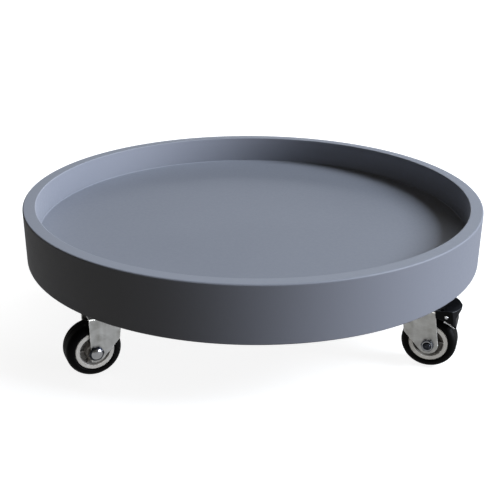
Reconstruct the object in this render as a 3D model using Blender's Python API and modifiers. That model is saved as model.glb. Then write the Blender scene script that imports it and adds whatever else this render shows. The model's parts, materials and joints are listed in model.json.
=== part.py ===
"""Plant pot caddy: a round tray on four swivel casters, two of them with a foot brake.

Units are metres, +Z is up, the floor is z = 0 and the tray's centre is on the Z axis.
A caster is modelled in its own frame: the origin is on the floor under the swivel axis,
+X is the way the wheel trails, and +Y runs along the axle towards the bolt's head.
"""

import math

import bmesh
import bpy
from mathutils import Matrix, Vector

# Driving dimensions.
TRAY_R = 0.175
TRAY_TOP = 0.092
RIM_WALL = 0.0095
BOARD_THICK = 0.018
CASTER_HEIGHT = 0.0515
CASTER_CIRCLE_R = 0.150
CASTER_TRAIL = 0.012
WHEEL_R = 0.019
WHEEL_HALF = 0.0085
FIT = 0.0003

# How far a cutter passes the face that it opens, and a length past any caster piece.
OVER = 0.001
LONG = 0.12

# Sides of the round pieces: the tray, a tyre, a hub, and pins, screws and holes.
TRAY_STEPS = 72
WHEEL_STEPS = 36
HUB_STEPS = 24
PIN_STEPS = 12
SCREW_STEPS = 8

# Each caster's place round the tray and the way its wheel trails, in degrees from +X.
CASTERS = {
    "front_left": (225.0, 201.7),
    "front_right": (315.0, 337.3),
    "rear_left": (135.0, 159.0),
    "rear_right": (45.0, 23.0),
}
BRAKED = ("front_right", "rear_left")

# Tray.
RIM_INNER_R = TRAY_R - RIM_WALL
BOARD_R = RIM_INNER_R - FIT
BOARD_TOP = CASTER_HEIGHT + BOARD_THICK
RIM_EDGE_R = 0.0012
RIM_INNER_EDGE = 0.0006
FOOT_CHAMFER = 0.0008

# Swivel head: plate, race, kingpin and screws, from the board down.
PLATE_TOP = CASTER_HEIGHT - FIT
PLATE_THICK = 0.002
PLATE_BOTTOM = PLATE_TOP - PLATE_THICK
PLATE_RADIAL = 0.030
PLATE_ACROSS = 0.036
PLATE_CORNER = 0.003
SCREW_RADIAL = 0.020
SCREW_ACROSS = 0.026
SCREW_SHANK_R = 0.0016
SCREW_HEAD_R = 0.0031
SCREW_HEAD_THICK = 0.0019
SCREW_LENGTH = 0.0140
SCREW_TOP = PLATE_BOTTOM - FIT
SCREW_TIP = SCREW_TOP + SCREW_LENGTH
SCREW_POINT = 0.0025
CROWN_TOP = 0.0455
RACE_R = 0.0122
RACE_STEP = 0.0007
KINGPIN_R = 0.0035
KINGPIN_HEAD_R = 0.0065
KINGPIN_HEAD_THICK = 0.0016
KINGPIN_CAP_R = 0.0052
KINGPIN_CAP_THICK = 0.0009

# Fork: a strip bent to a U, with legs that narrow to the axle.
STEEL = 0.0015
FORK_HALF = 0.0109
FORK_INNER = FORK_HALF - STEEL
FORK_BEND_R = 0.0022
LEG_BOSS_R = 0.0070
CROWN_BACK_X = CASTER_TRAIL + 0.0034
LEG_FRONT_X = CASTER_TRAIL - 0.0193
LEG_KNEE = (CASTER_TRAIL - 0.0170, 0.0268)
KNEE_R = 0.0025

# Wheel.
TYRE_SHOULDER_R = 0.0046
TYRE_BORE_R = 0.0137
TYRE_LIP = 0.0004
RING_HALF = 0.0081
RING_INNER_R = 0.0104
WEB_HALF = 0.0030
HUB_DRAFT = 0.0006
HUB_BOSS_R = 0.0062
HUB_HALF = 0.0088
HUB_BORE_R = 0.0039
RIB_HALF = 0.0058
RIB_THICK = 0.0013
SLEEVE_R = 0.0036
AXLE_R = 0.0025
BOLT_HEAD_ACROSS = 0.0092
BOLT_HEAD_THICK = 0.0026
BOLT_HEAD_DOME = 0.0011
NUT_ACROSS = 0.0078
NUT_THICK = 0.0024
NUT_DOME = 0.0007
BOLT_END = 0.0008

# Brake.
PIN_X = CASTER_TRAIL + 0.0109
PIN_Z = 0.0424
PIN_R = 0.00125
PIN_EDGE = 0.0004
EAR_R = 0.0026
PEDAL_TRAVEL = math.radians(9.0)
PEDAL_HALF = 0.0126
PEDAL_SLOT_INNER = FORK_INNER - 0.0005
PEDAL_SLOT_OUTER = FORK_HALF + FIT
PEDAL_SLOT_MIDDLE = (PEDAL_SLOT_INNER + PEDAL_SLOT_OUTER) / 2
PEDAL_SLOT_ROOM = 0.0004
SHOE_HALF = 0.0085
SHOE_THICK = 0.0009
SHOE_LOCKED_R = WHEEL_R + 0.00045
PEDAL_ARCH_R = SHOE_LOCKED_R + SHOE_THICK + FIT
PEDAL_LIP = 0.0005
PEDAL_CHEEK_ARCH_R = 0.0228
PEDAL_TOE = 80.0
PEDAL_CORE_X = -0.0060
PEDAL_HEEL = 40.0
SHOE_SPAN = 26.0

# The pedal's side as (x, z, corner radius) from its pin: front, crest, tip and notch.
PEDAL_SIDE = [
    (-0.0073, 0.0044, 0),
    (0.0008, 0.0046, 0.0020),
    (0.0094, 0.0030, 0.0005),
    (0.0092, 0.0016, 0.0005),
    (0.0060, -0.0020, 0.0010),
]

# Half of the pedal from above as (x, y, corner radius) from its pin: cheek, shoulder and tip.
PEDAL_PLAN = [
    (0.0042, PEDAL_HALF, 0.0014),
    (0.0068, 0.0094, 0.0010),
    (0.0095, 0.0026, 0.0016),
]

# Colour, roughness and metallic value of each material.
MATERIALS = {
    "grey_paint": ((0.20, 0.205, 0.225), 0.50, 0.0),
    "zinc_steel": ((0.62, 0.63, 0.62), 0.35, 1.0),
    "bright_steel": ((0.78, 0.79, 0.80), 0.18, 1.0),
    "hub_plastic": ((0.55, 0.54, 0.51), 0.45, 0.0),
    "tyre_rubber": ((0.018, 0.018, 0.019), 0.55, 0.0),
    "pedal_plastic": ((0.022, 0.022, 0.025), 0.40, 0.0),
}

TURN_TO_Y = Matrix.Rotation(-math.pi / 2, 4, "X")
STAND_UP = Matrix.Rotation(math.pi / 2, 4, "X")
FACE_X = Matrix.Rotation(math.pi / 2, 4, "Z") @ STAND_UP


def clear_scene():
    for obj in list(bpy.data.objects):
        bpy.data.objects.remove(obj, do_unlink=True)


def make_materials():
    made = {}
    for name, (colour, roughness, metallic) in MATERIALS.items():
        material = bpy.data.materials.new(name)
        material.use_nodes = True
        shader = material.node_tree.nodes["Principled BSDF"]
        shader.inputs["Base Color"].default_value = (*colour, 1.0)
        shader.inputs["Roughness"].default_value = roughness
        shader.inputs["Metallic"].default_value = metallic
        made[name] = material
    return made


def new_collection(name):
    collection = bpy.data.collections.new(name)
    bpy.context.scene.collection.children.link(collection)
    return collection


def helper(name, mesh):
    """An object that only shapes others: it is left out of renders."""
    obj = bpy.data.objects.new(name, mesh)
    CUTTERS.objects.link(obj)
    obj.display_type = "WIRE"
    obj.hide_render = True
    return obj


def evaluated_mesh(obj):
    """The mesh that an object's modifiers make, and the object is then removed."""
    bpy.context.view_layer.update()
    graph = bpy.context.evaluated_depsgraph_get()
    mesh = bpy.data.meshes.new_from_object(obj.evaluated_get(graph))
    bpy.data.objects.remove(obj, do_unlink=True)
    return mesh


def turned(name, profile, steps, turn=None):
    """A solid of revolution round Z, or round Y with TURN_TO_Y.

    The profile's (radius, height) points run down its outer side. One that starts and ends
    on the axis is left open, and any other is a closed ring.
    """
    count = len(profile)
    edges = [(i, i + 1) for i in range(count - 1)]
    on_axis = profile[0][0] == 0.0
    if not on_axis:
        edges.append((count - 1, 0))
    mesh = bpy.data.meshes.new(name)
    mesh.from_pydata([(r, 0.0, z) for r, z in profile], edges, [])
    obj = helper(name, mesh)
    screw = obj.modifiers.new("Turn", "SCREW")
    screw.axis = "Z"
    screw.steps = steps
    screw.render_steps = steps
    screw.use_merge_vertices = True
    screw.merge_threshold = 0.00001
    made = evaluated_mesh(obj)
    if turn:
        made.transform(turn)
    return made


def extruded(name, outline, depth, place=None):
    """A flat outline in XY with this depth along Z, centred on Z = 0, then moved to its place."""
    curve = bpy.data.curves.new(name, "CURVE")
    curve.dimensions = "2D"
    curve.fill_mode = "BOTH"
    curve.extrude = depth / 2
    spline = curve.splines.new("POLY")
    spline.points.add(len(outline) - 1)
    for point, (x, y) in zip(spline.points, outline):
        point.co = (x, y, 0.0, 1.0)
    spline.use_cyclic_u = True
    mesh = evaluated_mesh(helper(name, curve))
    bm = bmesh.new()
    bm.from_mesh(mesh)
    bmesh.ops.remove_doubles(bm, verts=bm.verts, dist=0.00001)
    bmesh.ops.recalc_face_normals(bm, faces=bm.faces)
    bm.to_mesh(mesh)
    bm.free()
    if place:
        mesh.transform(place)
    return mesh


def cylinder(name, radius, low, high, segments, axis="Z", centre=(0.0, 0.0)):
    """A plain cylinder from low to high along Z, or along Y with axis "Y".

    centre is (x, y), or (x, z) for a cylinder along Y.
    """
    mesh = bpy.data.meshes.new(name)
    bm = bmesh.new()
    bmesh.ops.create_cone(
        bm,
        cap_ends=True,
        segments=segments,
        radius1=radius,
        radius2=radius,
        depth=high - low,
        matrix=Matrix.Translation((0.0, 0.0, (high + low) / 2)),
    )
    bm.to_mesh(mesh)
    bm.free()
    if axis == "Y":
        mesh.transform(Matrix.Translation((centre[0], 0.0, centre[1])) @ TURN_TO_Y)
    else:
        mesh.transform(Matrix.Translation((centre[0], centre[1], 0.0)))
    return mesh


def cross_hole(pin_radius, centre):
    """A cutter right through a caster along Y, for a pin at this (x, z)."""
    return cylinder("hole", pin_radius + FIT, -LONG / 2, LONG / 2, PIN_STEPS, "Y", centre)


def combined(name, base, steps):
    """base changed by (operation, mesh) steps with Boolean modifiers."""
    obj = helper(name, base)
    tools = []
    for operation, mesh in steps:
        tool = helper(name + "_" + operation.lower(), mesh)
        boolean = obj.modifiers.new(operation.title(), "BOOLEAN")
        boolean.operation = operation
        boolean.object = tool
        tools.append(tool)
    made = evaluated_mesh(obj)
    for tool in tools:
        bpy.data.objects.remove(tool, do_unlink=True)
    return made


def joined(name, meshes):
    """Separate solids in one mesh, for a cutter with many holes."""
    mesh = bpy.data.meshes.new(name)
    bm = bmesh.new()
    for piece in meshes:
        bm.from_mesh(piece)
    bm.to_mesh(mesh)
    bm.free()
    return mesh


def arc(centre, radius, start, end, steps):
    """Points on an arc, with its angles in degrees."""
    points = []
    for i in range(steps + 1):
        angle = math.radians(start + (end - start) * i / steps)
        points.append((centre[0] + radius * math.cos(angle), centre[1] + radius * math.sin(angle)))
    return points


def filleted(corners, steps=3):
    """An outline whose (x, y, radius) corners are rounded; radius 0 keeps a sharp corner."""
    points = []
    count = len(corners)
    for i, (x, y, radius) in enumerate(corners):
        here = Vector((x, y))
        if radius == 0:
            points.append((x, y))
            continue
        back = (Vector(corners[i - 1][:2]) - here).normalized()
        ahead = (Vector(corners[(i + 1) % count][:2]) - here).normalized()
        half_angle = back.angle(ahead) / 2
        reach = radius / math.tan(half_angle)
        centre = here + (back + ahead).normalized() * (radius / math.sin(half_angle))
        first = here + back * reach - centre
        turn = first.angle_signed(here + ahead * reach - centre)
        for step in range(steps + 1):
            spoke = first.copy()
            spoke.rotate(Matrix.Rotation(-turn * step / steps, 2))
            points.append(tuple(centre + spoke))
    return points


def rectangle(half_x, half_y, radius):
    corners = [(half_x, half_y), (-half_x, half_y), (-half_x, -half_y), (half_x, -half_y)]
    return filleted([(x, y, radius) for x, y in corners])


def hexagon(across):
    return arc((0.0, 0.0), across / math.sqrt(3), 0, 300, 5)


def on_circle(radius, degrees):
    angle = math.radians(degrees)
    return Vector((radius * math.cos(angle), radius * math.sin(angle), 0.0))


# Tray -----------------------------------------------------------------------------------


def rim_hoop_mesh():
    top_outer = arc((TRAY_R - RIM_EDGE_R, TRAY_TOP - RIM_EDGE_R), RIM_EDGE_R, 90, 0, 3)
    profile = [(RIM_INNER_R, TRAY_TOP - RIM_INNER_EDGE), (RIM_INNER_R + RIM_INNER_EDGE, TRAY_TOP)]
    profile += top_outer
    profile += [
        (TRAY_R, CASTER_HEIGHT + FOOT_CHAMFER),
        (TRAY_R - FOOT_CHAMFER, CASTER_HEIGHT),
        (RIM_INNER_R, CASTER_HEIGHT),
    ]
    return turned("rim_hoop", profile, TRAY_STEPS)


def screw_places():
    """(caster, number, Vector) of each plate screw, on the floor plane."""
    places = []
    for caster, (around, _) in CASTERS.items():
        centre = on_circle(CASTER_CIRCLE_R, around)
        number = 0
        for radial in (-0.5, 0.5):
            for across in (-0.5, 0.5):
                number += 1
                offset = on_circle(SCREW_RADIAL * radial, around)
                offset += on_circle(SCREW_ACROSS * across, around + 90)
                places.append((caster, number, centre + offset))
    return places


def base_board_mesh():
    profile = [
        (0.0, BOARD_TOP),
        (BOARD_R, BOARD_TOP),
        (BOARD_R, CASTER_HEIGHT),
        (0.0, CASTER_HEIGHT),
    ]
    board = turned("base_board", profile, TRAY_STEPS)
    low = CASTER_HEIGHT - OVER
    holes = []
    for _, _, place in screw_places():
        hole = cylinder("hole", SCREW_SHANK_R + FIT, low, SCREW_TIP + FIT, SCREW_STEPS)
        hole.transform(Matrix.Translation(place))
        holes.append(hole)
    return combined("base_board", board, [("DIFFERENCE", joined("screw_holes", holes))])


# Swivel head ----------------------------------------------------------------------------


def plate_mesh():
    outline = rectangle(PLATE_RADIAL / 2, PLATE_ACROSS / 2, PLATE_CORNER)
    middle = (PLATE_TOP + PLATE_BOTTOM) / 2
    plate = extruded("plate", outline, PLATE_THICK, Matrix.Translation((0.0, 0.0, middle)))
    below = PLATE_BOTTOM - OVER
    above = PLATE_TOP + OVER
    pocket = PLATE_TOP - KINGPIN_CAP_THICK - FIT
    holes = [cylinder("hole", KINGPIN_R + FIT, below, above, PIN_STEPS)]
    for x in (-SCREW_RADIAL / 2, SCREW_RADIAL / 2):
        for y in (-SCREW_ACROSS / 2, SCREW_ACROSS / 2):
            hole = cylinder("hole", SCREW_SHANK_R + FIT, below, above, SCREW_STEPS, centre=(x, y))
            holes.append(hole)
    counterbore = cylinder("counterbore", KINGPIN_CAP_R + FIT, pocket, above, PIN_STEPS)
    steps = [("DIFFERENCE", joined("holes", holes)), ("DIFFERENCE", counterbore)]
    return combined("plate", plate, steps)


def race_mesh():
    """The two pressed cups that hold the balls, closed on each other with a groove between."""
    low = CROWN_TOP + FIT
    high = PLATE_BOTTOM - FIT
    middle = (low + high) / 2
    bore = KINGPIN_R + FIT
    profile = [
        (RACE_R - RACE_STEP, high),
        (RACE_R, high - RACE_STEP),
        (RACE_R, middle + RACE_STEP / 2),
        (RACE_R - RACE_STEP, middle),
        (RACE_R, middle - RACE_STEP / 2),
        (RACE_R, low + RACE_STEP),
        (RACE_R - RACE_STEP, low),
        (bore, low),
        (bore, high),
    ]
    return turned("race", profile, PIN_STEPS + 4)


def kingpin_mesh():
    head_top = CROWN_TOP - STEEL - FIT
    head_bottom = head_top - KINGPIN_HEAD_THICK
    cap_bottom = PLATE_TOP - KINGPIN_CAP_THICK
    profile = [
        (0.0, PLATE_TOP - FIT / 2),
        (KINGPIN_CAP_R, PLATE_TOP - FIT / 2),
        (KINGPIN_CAP_R, cap_bottom),
        (KINGPIN_R, cap_bottom),
        (KINGPIN_R, head_top),
        (KINGPIN_HEAD_R, head_top),
        (KINGPIN_HEAD_R, (head_top + head_bottom) / 2),
        (KINGPIN_HEAD_R * 0.77, head_bottom),
        (0.0, head_bottom),
    ]
    return turned("kingpin", profile, PIN_STEPS)


def screw_mesh():
    head_low = SCREW_TOP - SCREW_HEAD_THICK
    profile = [
        (0.0, SCREW_TIP),
        (SCREW_SHANK_R, SCREW_TIP - SCREW_POINT),
        (SCREW_SHANK_R, SCREW_TOP),
        (SCREW_HEAD_R, SCREW_TOP),
        (SCREW_HEAD_R * 0.9, SCREW_TOP - SCREW_HEAD_THICK * 0.6),
        (SCREW_HEAD_R * 0.55, head_low),
        (0.0, head_low),
    ]
    return turned("screw", profile, SCREW_STEPS)


# Fork -----------------------------------------------------------------------------------


def bent_strip():
    """The U of the crown and both legs, long enough to be trimmed to its outlines."""
    low = WHEEL_R - LEG_BOSS_R - 10 * OVER
    shoulder = CROWN_TOP - FORK_BEND_R
    turn_y = FORK_HALF - FORK_BEND_R
    inner = FORK_BEND_R - STEEL
    outline = [(FORK_HALF, low)]
    outline += arc((turn_y, shoulder), FORK_BEND_R, 0, 90, 4)
    outline += arc((-turn_y, shoulder), FORK_BEND_R, 90, 180, 4)
    outline += [(-FORK_HALF, low), (-FORK_INNER, low)]
    outline += arc((-turn_y, shoulder), inner, 180, 90, 3)
    outline += arc((turn_y, shoulder), inner, 90, 0, 3)
    outline += [(FORK_INNER, low)]
    return extruded("fork", outline, LONG, FACE_X)


def leg_outline(with_ear):
    """The fork from its side, as (x, z): both legs, the crown's edge, and the brake's ear."""
    axle = (CASTER_TRAIL, WHEEL_R)
    top = CROWN_TOP + OVER
    crown_edge = CROWN_TOP - STEEL - FIT
    front = LEG_FRONT_X - 2 * FORK_HALF
    rise = CROWN_TOP - WHEEL_R
    back = CROWN_BACK_X - CASTER_TRAIL
    tangent = math.degrees(math.atan2(rise, back) - math.acos(LEG_BOSS_R / math.hypot(rise, back)))
    outline = arc(axle, LEG_BOSS_R, -135, tangent, 9)
    if with_ear:
        outline += [(CROWN_BACK_X + FIT, PIN_Z - EAR_R / 2)]
        outline += arc((PIN_X, PIN_Z), EAR_R, -90, 52, 7)
        outline += [(PIN_X - EAR_R, PIN_Z + EAR_R * 0.8)]
    outline += [(CROWN_BACK_X, top), (front, top), (front, crown_edge)]
    knee_x, knee_z = LEG_KNEE
    knee = filleted([
        (LEG_FRONT_X, crown_edge, 0),
        (knee_x, knee_z, KNEE_R),
        (axle[0] - LEG_BOSS_R, knee_z - (axle[0] - LEG_BOSS_R - knee_x), 0),
    ])
    return outline + knee[:-1]


def crown_outline(with_ear):
    """The fork from above: straight sides, a round nose, and the gap between the ears."""
    half = FORK_HALF + OVER
    nose_r = math.hypot(LEG_FRONT_X, FORK_HALF)
    side = math.degrees(math.atan2(FORK_HALF, LEG_FRONT_X))
    nose = arc((0.0, 0.0), nose_r, side, 360 - side, 14)
    back = PIN_X + 2 * EAR_R if with_ear else CROWN_BACK_X
    outline = [(back, half), (LEG_FRONT_X, half)] + nose + [(LEG_FRONT_X, -half), (back, -half)]
    if with_ear:
        gap = FORK_INNER - FIT
        outline += [(back, -gap), (CROWN_BACK_X, -gap), (CROWN_BACK_X, gap), (back, gap)]
    return outline


def fork_mesh(with_ear):
    legs = extruded("legs", leg_outline(with_ear), LONG, STAND_UP)
    crown = extruded("crown", crown_outline(with_ear), LONG)
    pin_hole = cylinder(
        "hole", KINGPIN_R + FIT, CROWN_TOP - 2 * STEEL, CROWN_TOP + OVER, PIN_STEPS
    )
    steps = [
        ("INTERSECT", legs),
        ("INTERSECT", crown),
        ("DIFFERENCE", joined("holes", [cross_hole(AXLE_R, (CASTER_TRAIL, WHEEL_R)), pin_hole])),
    ]
    if with_ear:
        steps.append(("DIFFERENCE", cross_hole(PIN_R, (PIN_X, PIN_Z))))
    return combined("fork", bent_strip(), steps)


# Wheel, modelled round Y through its own centre ------------------------------------------


def tyre_mesh():
    flat = WHEEL_HALF - TYRE_SHOULDER_R
    side_r = WHEEL_R - TYRE_SHOULDER_R
    profile = [(TYRE_BORE_R, WHEEL_HALF - TYRE_LIP)]
    profile += arc((side_r, flat), TYRE_SHOULDER_R, 90, 0, 3)
    profile += arc((side_r, -flat), TYRE_SHOULDER_R, 0, -90, 3)
    profile += [(TYRE_BORE_R, TYRE_LIP - WHEEL_HALF)]
    return turned("tyre", profile, WHEEL_STEPS, TURN_TO_Y)


def hub_mesh():
    ring_r = TYRE_BORE_R - FIT
    half = [
        (HUB_BORE_R, HUB_HALF),
        (HUB_BOSS_R, HUB_HALF),
        (HUB_BOSS_R + HUB_DRAFT, WEB_HALF),
        (RING_INNER_R - HUB_DRAFT, WEB_HALF),
        (RING_INNER_R, RING_HALF),
        (ring_r, RING_HALF),
    ]
    profile = half + [(r, -v) for r, v in reversed(half)]
    solid = turned("hub", profile, HUB_STEPS, TURN_TO_Y)
    bore = cylinder("bore", HUB_BORE_R, -LONG / 2, LONG / 2, HUB_STEPS, "Y")
    steps = []
    for i in range(3):
        rib = extruded("rib", rectangle(RING_INNER_R + OVER, RIB_THICK / 2, 0), 2 * RIB_HALF)
        rib.transform(Matrix.Rotation(math.radians(60 * i), 4, "Y") @ STAND_UP)
        steps.append(("UNION", rib))
    steps.append(("DIFFERENCE", bore))
    return combined("hub", solid, steps)


def sleeve_mesh():
    half = FORK_INNER - FIT
    bore = AXLE_R + FIT
    profile = [(SLEEVE_R, half), (SLEEVE_R, -half), (bore, -half), (bore, half)]
    return turned("axle_sleeve", profile, PIN_STEPS, TURN_TO_Y)


def hexagon_piece(name, across, low, high, dome):
    """A hexagonal head or nut along Z, its outer corners turned to a dome of this depth."""
    beyond_corner = across / math.sqrt(3) + FIT
    top = [(0.0, high)]
    for share in (1 / 3, 2 / 3, 1.0):
        top.append((across / 2 * (0.72 + 0.28 * share), high - dome * 0.35 * (share ** 2)))
    profile = top + [(beyond_corner, high - dome), (beyond_corner, low), (0.0, low)]
    blank = extruded(name, hexagon(across), 4 * high)
    return combined(name, turned("dome", profile, PIN_STEPS), [("INTERSECT", blank)])


def axle_bolt_mesh():
    under_head = FORK_HALF + FIT
    end = -(FORK_HALF + FIT + NUT_THICK + BOLT_END)
    top = under_head + BOLT_HEAD_THICK
    head = hexagon_piece("axle_bolt", BOLT_HEAD_ACROSS, under_head, top, BOLT_HEAD_DOME)
    inside_head = (under_head + top) / 2
    profile = [
        (0.0, inside_head),
        (AXLE_R, inside_head),
        (AXLE_R, end + BOLT_END / 2),
        (AXLE_R - BOLT_END / 2, end),
        (0.0, end),
    ]
    bolt = combined("axle_bolt", head, [("UNION", turned("shank", profile, PIN_STEPS))])
    bolt.transform(TURN_TO_Y)
    return bolt


def axle_nut_mesh():
    low = FORK_HALF + FIT
    nut = hexagon_piece("axle_nut", NUT_ACROSS, low, low + NUT_THICK, NUT_DOME)
    bore = cylinder("bore", AXLE_R + FIT, 0.0, LONG, PIN_STEPS)
    nut = combined("axle_nut", nut, [("DIFFERENCE", bore)])
    nut.transform(Matrix.Rotation(math.pi, 4, "X") @ TURN_TO_Y)
    return nut


# Brake, modelled locked and then turned back by its travel -------------------------------


def released(mesh):
    """Turns a locked brake piece back about the pivot pin, and puts its origin on the pin."""
    mesh.transform(Matrix.Translation((-PIN_X, 0.0, -PIN_Z)))
    mesh.transform(Matrix.Rotation(-PEDAL_TRAVEL, 4, "Y"))
    return mesh


def box(name, low, high):
    """A plain block between two corners."""
    outline = [(low[0], low[1]), (high[0], low[1]), (high[0], high[1]), (low[0], high[1])]
    middle = (low[2] + high[2]) / 2
    return extruded(name, outline, high[2] - low[2], Matrix.Translation((0.0, 0.0, middle)))


def pedal_slot_meshes():
    """The two slots that take the fork's ears. Ahead of the pin they are open at the top."""
    back = PIN_X + EAR_R + 4 * FIT
    front = PIN_X - 4 * EAR_R
    low = PIN_Z - LONG / 4
    high = PIN_Z + EAR_R + PEDAL_SLOT_ROOM
    outline = [
        (front, low),
        (back, low),
        (back, PIN_Z + FIT),
        (PIN_X + EAR_R / 2, high),
        (PIN_X - EAR_R / 2, high),
        (PIN_X - EAR_R, PIN_Z + 3 * EAR_R),
        (front, PIN_Z + 3 * EAR_R),
    ]
    slots = []
    for sign in (-1, 1):
        slot = extruded("slot", outline, PEDAL_SLOT_OUTER - PEDAL_SLOT_INNER, STAND_UP)
        slot.transform(Matrix.Translation((0.0, sign * PEDAL_SLOT_MIDDLE, 0.0)))
        slots.append(slot)
    return slots


def pedal_mesh():
    wheel = (CASTER_TRAIL, WHEEL_R)
    heel = arc(wheel, PEDAL_ARCH_R + PEDAL_LIP, PEDAL_HEEL - 1, PEDAL_HEEL - 1, 1)[0]
    side = [(PIN_X + x, PIN_Z + z, radius) for x, z, radius in PEDAL_SIDE]
    side.append((heel[0], heel[1], 0))
    arch = arc(wheel, PEDAL_ARCH_R, PEDAL_TOE, PEDAL_HEEL, 8)
    pedal = extruded("pedal", filleted(side)[::-1] + arch, 2 * PEDAL_HALF, STAND_UP)
    half = PEDAL_HALF + FIT
    far_side = [(PIN_X + x, y, radius) for x, y, radius in PEDAL_PLAN]
    near_side = [(x, -y, radius) for x, y, radius in reversed(far_side)]
    plan = filleted([(0.0, half, 0)] + far_side + near_side + [(0.0, -half, 0)])
    cheek_arches = []
    for sign in (-1, 1):
        ends = sorted((sign * PEDAL_SLOT_INNER, sign * half))
        cheek_arches.append(
            cylinder("arch", PEDAL_CHEEK_ARCH_R, ends[0], ends[1], WHEEL_STEPS, "Y", wheel)
        )
    front_low = (-LONG, -PEDAL_SLOT_MIDDLE, 0.0)
    front_high = (PIN_X + PEDAL_CORE_X, PEDAL_SLOT_MIDDLE, LONG)
    front = box("front", front_low, front_high)
    steps = [
        ("INTERSECT", extruded("plan", plan, LONG)),
        ("DIFFERENCE", joined("slots", pedal_slot_meshes())),
        ("DIFFERENCE", joined("arches", cheek_arches)),
        ("DIFFERENCE", front),
        ("DIFFERENCE", cross_hole(PIN_R, (PIN_X, PIN_Z))),
    ]
    return released(combined("pedal", pedal, steps))


def shoe_mesh():
    wheel = (CASTER_TRAIL, WHEEL_R)
    low = PEDAL_HEEL + 1
    high = PEDAL_HEEL + SHOE_SPAN
    outline = arc(wheel, SHOE_LOCKED_R, low, high, 8)
    outline += arc(wheel, SHOE_LOCKED_R + SHOE_THICK, high, low, 8)
    return released(extruded("shoe", outline, 2 * SHOE_HALF, STAND_UP))


def pivot_pin_mesh():
    half = PEDAL_HALF + PIN_EDGE
    profile = [
        (0.0, half),
        (PIN_R - PIN_EDGE, half),
        (PIN_R, half - PIN_EDGE),
        (PIN_R, PIN_EDGE - half),
        (PIN_R - PIN_EDGE, -half),
        (0.0, -half),
    ]
    return turned("pivot_pin", profile, PIN_STEPS, TURN_TO_Y)


# Assembly -------------------------------------------------------------------------------


def empty(name, location, turn=0.0, parent=None):
    obj = bpy.data.objects.new(name, None)
    obj.empty_display_size = 0.01
    CADDY.objects.link(obj)
    obj.location = location
    obj.rotation_euler = (0.0, 0.0, turn)
    obj.parent = parent
    return obj


def place(name, mesh, material, parent=None, location=(0.0, 0.0, 0.0)):
    """One named piece. Copies of a piece share its mesh."""
    if not mesh.materials:
        mesh.materials.append(PAINTS[material])
        mesh.shade_smooth()
        mesh.set_sharp_from_angle(angle=math.radians(32))
    obj = bpy.data.objects.new(name, mesh)
    CADDY.objects.link(obj)
    obj.parent = parent
    obj.location = location
    return obj


def build_tray():
    place("rim_hoop", rim_hoop_mesh(), "grey_paint")
    place("base_board", base_board_mesh(), "grey_paint")
    screw = screw_mesh()
    for caster, number, location in screw_places():
        place(f"{caster}_plate_screw_{number}", screw, "zinc_steel", location=location)


def build_casters():
    plate = plate_mesh()
    race = race_mesh()
    kingpin = kingpin_mesh()
    forks = {True: fork_mesh(True), False: fork_mesh(False)}
    tyre = tyre_mesh()
    hub = hub_mesh()
    sleeve = sleeve_mesh()
    bolt = axle_bolt_mesh()
    nut = axle_nut_mesh()
    pedal = pedal_mesh()
    shoe = shoe_mesh()
    pin = pivot_pin_mesh()
    for name, (around, trails) in CASTERS.items():
        spot = on_circle(CASTER_CIRCLE_R, around)
        mounting = empty(f"{name}_mounting", spot, math.radians(around))
        place(f"{name}_mounting_plate", plate, "zinc_steel", mounting)
        place(f"{name}_ball_race", race, "zinc_steel", mounting)
        place(f"{name}_kingpin", kingpin, "zinc_steel", mounting)
        swivel = empty(f"{name}_swivel_axis", spot, math.radians(trails))
        place(f"{name}_fork", forks[name in BRAKED], "zinc_steel", swivel)
        axle = empty(f"{name}_axle_axis", (CASTER_TRAIL, 0.0, WHEEL_R), parent=swivel)
        place(f"{name}_tyre", tyre, "tyre_rubber", axle)
        place(f"{name}_hub", hub, "hub_plastic", axle)
        place(f"{name}_axle_sleeve", sleeve, "bright_steel", axle)
        place(f"{name}_axle_bolt", bolt, "bright_steel", axle)
        place(f"{name}_axle_nut", nut, "bright_steel", axle)
        if name in BRAKED:
            pivot = empty(f"{name}_brake_axis", (PIN_X, 0.0, PIN_Z), parent=swivel)
            place(f"{name}_brake_pedal", pedal, "pedal_plastic", pivot)
            place(f"{name}_brake_shoe", shoe, "bright_steel", pivot)
            place(f"{name}_brake_pin", pin, "bright_steel", pivot)


clear_scene()
PAINTS = make_materials()
CADDY = new_collection("plant_pot_caddy")
CUTTERS = new_collection("cutters")
build_tray()
build_casters()
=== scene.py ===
"""Looks of the plant pot caddy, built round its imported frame.

Every CAD piece is stood for by a finer one in the same place: rounded edges, fillets, ribs,
thread and recesses come from geometry, and each material from procedural nodes.
Units are metres and +Z is up. A caster's own frame has its origin on the floor under the
swivel axis, +X the way the wheel trails, and +Y along the axle towards the bolt's head.
"""

import json
import math

import bmesh
import bpy
from mathutils import Matrix, Vector

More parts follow.
